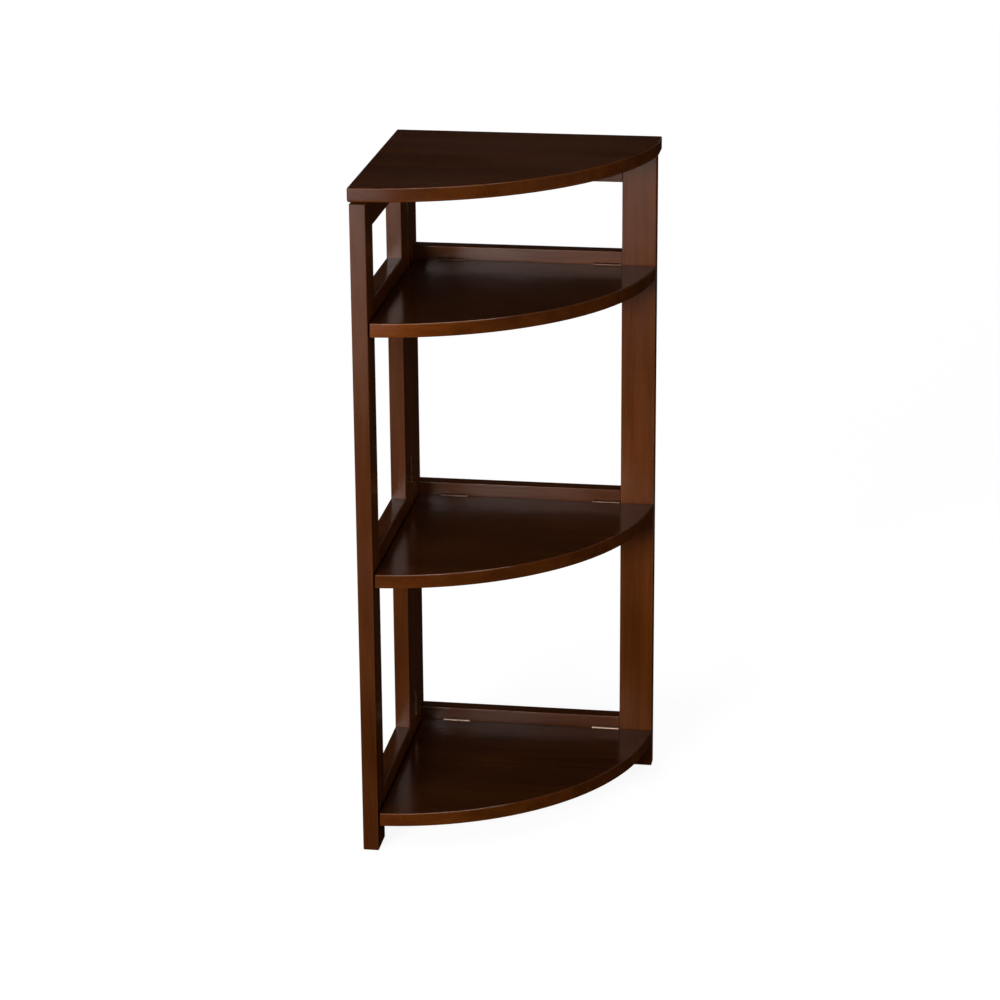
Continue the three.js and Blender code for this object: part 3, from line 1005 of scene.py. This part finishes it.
def screw_tree():
    """Countersunk cross-head screws on marked points, each along its own direction."""
    sizes = measures("Head Radius", "Head Depth", "Shank Radius", "Length")
    tree, given = sized_tree("countersunk_screws", "Screws", {"Marks": "Geometry", **sizes})

    def shared(size, share):
        return reckon(tree, "MULTIPLY", given[size], share)

    tip = shared("Shank Radius", TIP_SHARE)
    head = cone(tree, SCREW_SIDES, given["Head Radius"], given["Shank Radius"], given["Head Depth"])
    shank = cone(tree, SCREW_SIDES, given["Shank Radius"], tip, given["Length"])
    overlap = shared("Head Depth", -HEAD_OVERLAP_SHARE)
    shank_low = reckon(tree, "SUBTRACT", overlap, given["Length"])
    head = moved(tree, head, vector(tree, z=shared("Head Depth", -1.0)))
    shank = moved(tree, shank, vector(tree, z=shank_low))
    arm = vector(
        tree,
        shared("Head Radius", RECESS_LENGTH_SHARE),
        shared("Head Radius", RECESS_WIDTH_SHARE),
        given["Head Depth"],
    )
    slot = add_node(tree, "GeometryNodeMeshCube", {"Size": arm}).outputs[0]
    cross = [moved(tree, slot, turn=(0, 0, turn)) for turn in (0.0, math.pi / 2)]
    screw = carved(tree, united(tree, (head, shank)), cross)
    driving = {"Points": given["Marks"], "Instance": screw, "Rotation": screw_turn(tree)}
    driven = add_node(tree, "GeometryNodeInstanceOnPoints", driving).outputs[0]
    return end_tree(tree, driven, given["Finish"])


LEAF_TREE = leaf_tree()
SCREW_TREE = screw_tree()


def leaf_mesh(kind):
    sizes = {
        "Side": float(LEAF_SIDE[kind]),
        "Length": HINGE_LENGTH,
        "Width": LEAF_WIDTH,
        "Thickness": LEAF_THICKNESS,
        "Gap": LEAF_GAP,
        "Notch": KNUCKLE_NOTCH,
        "Knuckle Radius": KNUCKLE_RADIUS,
        "Bore Radius": BORE_RADIUS,
        "Knuckle Length": KNUCKLE_LENGTH[kind],
        "Knuckle Spacing": KNUCKLE_SPACING,
        "Hole Spacing": LEAF_SCREW_SPACING,
        "Hole Mouth": LEAF_HOLE_MOUTH,
        "Hole Foot": LEAF_HOLE_FOOT,
        "Knuckle Count": KNUCKLE_COUNT[kind],
        "Finish": finishes["hinge"],
    }
    piece = settled(grown("leaf_pattern", LEAF_TREE, sizes))
    rolled = piece.modifiers.new("rolled", "BEVEL")
    rolled.limit_method = "ANGLE"
    rolled.angle_limit = LEAF_CORNER
    rolled.width = LEAF_EASE
    rolled.segments = LEAF_EASE_STEPS
    mesh = smoothed(settled(piece)).data
    bpy.data.objects.remove(piece)
    return mesh


def pin_mesh():
    """A pin with its ends rounded over."""
    shape = bmesh.new()
    bmesh.ops.create_cone(
        shape,
        cap_ends=True,
        segments=PIN_SIDES,
        radius1=PIN_RADIUS,
        radius2=PIN_RADIUS,
        depth=HINGE_LENGTH,
        matrix=Matrix.Rotation(math.pi / 2, 4, "Y"),
    )
    ends = [edge for edge in shape.edges if reach_along(edge, ALONG_X) < MM]
    rounded_over(shape, ends, PIN_EASE, PIN_EASE_STEPS)
    mesh = written(shape, bpy.data.meshes.new("pin"))
    mesh.shade_smooth()
    return mesh


def drive_screws(name, body, marks, size, *nodes):
    """Screws at the marks, each a place and the direction that its head faces."""
    marked_points = bpy.data.meshes.new(name)
    marked_points.from_pydata([spot for spot, aim in marks], [], [])
    facing = marked_points.attributes.new("facing", "FLOAT_VECTOR", "POINT")
    facing.data.foreach_set("vector", [value for spot, aim in marks for value in aim])
    sizes = {
        "Head Radius": size["head"],
        "Head Depth": size["depth"],
        "Shank Radius": size["shank"],
        "Length": size["length"] - size["depth"],
        "Finish": finishes["screw"],
    }
    screws = settled(grown(name, SCREW_TREE, sizes, marked_points))
    mesh = screws.data
    left_over = mesh.attributes.get("facing")
    if left_over:
        mesh.attributes.remove(left_over)
    mesh.shade_smooth()
    mesh.set_sharp_from_angle(angle=SHARP_ANGLE)
    finish_piece(screws, body, "screw_metal", finishes["screw"], *nodes)


def hinges_and_bodies():
    """Each hinge's name, with the body that its moving leaf rides on."""
    for level in LEVELS:
        yield "corner_hinge_" + level, "frames"
        for name in panel_hinges(level):
            yield name, level + "_shelf"
    for name in panel_hinges("top"):
        yield name, "top_panel"


def make_hinges():
    leaves = {kind: leaf_mesh(kind) for kind in LEAF_SIDE}
    pin = pin_mesh()
    marks = {}
    for name, carried in hinges_and_bodies():
        where = hinge_frame(name)
        finish = finishes["corner_hinge" if name.startswith("corner") else "hinge"]
        for kind, body in (("fixed", "frames"), ("moving", carried)):
            mesh = leaves[kind].copy()
            mesh.transform(where)
            leaf = add_object(f"{name}_{kind}_leaf_plate", mesh)
            finish_piece(leaf, body, "hinge_metal", finish, f"{name}_{kind}_leaf")
            side = LEAF_SIDE[kind]
            aim = where.to_3x3() @ Vector((0, -side, 0))
            for along in (-LEAF_SCREW_SPACING / 2, LEAF_SCREW_SPACING / 2):
                spot = Vector((along, side * LEAF_GAP / 2, (KNUCKLE_NOTCH + LEAF_WIDTH) / 2))
                marks.setdefault(body, []).append((where @ spot, aim))
        mesh = pin.copy()
        mesh.transform(where)
        pin_rod = add_object(name + "_pin_rod", mesh)
        finish_piece(pin_rod, "frames", "pin_metal", finishes["pin"], name + "_pin")
    for body, spots in marks.items():
        drive_screws(f"hinge_screws_{body}", body, spots, LEAF_SCREW)


def make_rest_screws():
    nodes = [screw for level in LEVELS for screw in rest_screws(level)]
    marks = [
        (Vector((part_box(node)[1].x, *rest_screw_line(node))), (1, 0, 0)) for node in nodes
    ]
    drive_screws("rest_screws", "frames", marks, REST_SCREW, *nodes)


# Studio

# The flags and the edge strip show in reflections alone, and the two fills don't show in them
AIM = (0, 0, 0.45)
LAMPS = {
    "key_softbox": {"spot": (-2.0, -5, 1.3), "size": (2.2, 0.9), "power": 225},
    "side_fill": {"spot": (4.6, -1.2, 0.95), "size": (1.6, 1.6), "power": 30, "mirrored": False},
    "back_fill": {"spot": (-4.2, 8.6, 1.2), "size": (3.0, 2.2), "power": 260, "mirrored": False},
    "edge_strip": {"spot": (1.5, -3, 2.75), "size": (4, 0.3), "power": 95, "shines": False},
}

# The floor and the two flags that lie on it end just under the feet
FLOOR_CORNERS = ((-20, -20, -0.02), (20, 20, -0.0001))
FLAG_CORNERS = {
    "ceiling_flag": ((-30, -30, 2.9), (30, 30, 2.95)),
    "table_flag": ((-6, -3.1, -0.00005), (20, 20, -0.00002)),
    "right_flag": ((0.35, -20, -0.00005), (20, -3.1, -0.00002)),
}

WHITE = (1, 1, 1, 1)
SOFT_LIGHT, MIRRORED_LIGHT, SHOWN_LIGHT = 0.2, 0.45, 1.0
PAPER_LIT = (0.2, 0.2, 0.2, 1)
PAPER_SHOWN = (0.3, 0.3, 0.3, 1)
PAPER_GLOW = 0.9
CLOTH = (0.018, 0.0135, 0.0115, 1)


def aimed_light(name, spot, size, power, mirrored=True, shines=True):
    """A lamp that gloss mirrors or not, and that shines on what is matt or not."""
    data = bpy.data.lights.new(name, "AREA")
    data.shape = "RECTANGLE"
    data.size, data.size_y = size
    data.energy = power
    lamp = add_object(name, data)
    lamp.location = spot
    away = Vector(spot) - Vector(AIM)
    lamp.rotation_euler = away.to_track_quat("Z", "Y").to_euler()
    lamp.visible_camera = False
    lamp.visible_glossy = mirrored
    lamp.visible_diffuse = shines


def seen_rays(tree):
    """Two values: 1 for rays that show a thing itself, and 1 for rays that mirror it."""
    path = add_node(tree, "ShaderNodeLightPath").outputs
    shown = reckon(tree, "MAXIMUM", path["Is Camera Ray"], path["Is Transmission Ray"])
    return shown, path["Is Glossy Ray"]


def mixed(tree, share, first, second):
    """The first shader, or where the share is 1 the second."""
    return add_node(tree, "ShaderNodeMixShader", {0: share, 1: first, 2: second}).outputs[0]


def matt(tree, colour):
    return add_node(tree, "ShaderNodeBsdfDiffuse", {"Color": colour}).outputs[0]


def make_background():
    """White where the camera sees it, dimmer in reflections and as light on the unit."""
    world = bpy.data.worlds.new("studio")
    bpy.context.scene.world = world
    world.use_nodes = True
    tree = world.node_tree
    tree.nodes.clear()
    soft, dim, white = [
        add_node(tree, "ShaderNodeBackground", {"Color": WHITE, "Strength": strength}).outputs[0]
        for strength in (SOFT_LIGHT, MIRRORED_LIGHT, SHOWN_LIGHT)
    ]
    shown, mirrored = seen_rays(tree)
    light = mixed(tree, shown, mixed(tree, mirrored, soft, dim), white)
    add_node(tree, "ShaderNodeOutputWorld", {"Surface": light})


def white_paper():
    """Paper that glows a little where it is seen, and is darker as light on the unit."""
    paper, tree = blank_material("white_paper")
    glow = add_node(tree, "ShaderNodeEmission", {"Strength": PAPER_GLOW}).outputs[0]
    glowing = add_node(tree, "ShaderNodeAddShader", {0: matt(tree, PAPER_SHOWN), 1: glow})
    seen = reckon(tree, "MAXIMUM", *seen_rays(tree))
    show_surface(tree, mixed(tree, seen, matt(tree, PAPER_LIT), glowing.outputs[0]))
    return paper


def dark_cloth():
    """Black cloth that is seen only in reflections, so that the lacquer stays dark."""
    cloth, tree = blank_material("dark_cloth")
    show_surface(tree, matt(tree, CLOTH))
    return cloth


def make_studio():
    make_background()
    floor = add_object("studio_floor", block(*FLOOR_CORNERS))
    floor.data.materials.append(white_paper())
    cloth = dark_cloth()
    for name, corners in FLAG_CORNERS.items():
        flag = add_object(name, block(*corners))
        flag.data.materials.append(cloth)
        flag.visible_camera = False
        flag.visible_diffuse = False
        flag.visible_shadow = False
    for name, lamp in LAMPS.items():
        aimed_light(name, **lamp)


CAMERA_SPOT = Vector((580.88, -3796.48, 1737.74)) * MM
CAMERA_YAW, CAMERA_PITCH, CAMERA_ROLL = 0.1555, 0.3299, 0.0074

# In millimetres, as a camera takes them
LENS, SENSOR_WIDTH = 114.255, 36


def make_camera():
    """Where the photograph was taken from, looking down on the unit without any shift."""
    yaw, pitch, roll = CAMERA_YAW, CAMERA_PITCH, CAMERA_ROLL
    ahead = Vector(
        (-math.sin(yaw) * math.cos(pitch), math.cos(yaw) * math.cos(pitch), -math.sin(pitch))
    )
    across = Vector((math.cos(yaw), math.sin(yaw), 0))
    upward = across.cross(ahead)
    right = math.cos(roll) * across - math.sin(roll) * upward
    top = math.sin(roll) * across + math.cos(roll) * upward
    data = bpy.data.cameras.new("photo_camera")
    data.sensor_width = SENSOR_WIDTH
    data.lens = LENS
    camera = add_object("photo_camera", data)
    turn = Matrix((right, top, -ahead)).transposed().to_4x4()
    camera.matrix_world = Matrix.Translation(CAMERA_SPOT) @ turn
    bpy.context.scene.camera = camera


make_uprights()
make_rails()
make_rests()
make_shelves()
make_top()
make_hinges()
make_rest_screws()
make_studio()
make_camera()
bpy.context.scene.view_settings.view_transform = "Standard"

bpy.context.view_layer.update()
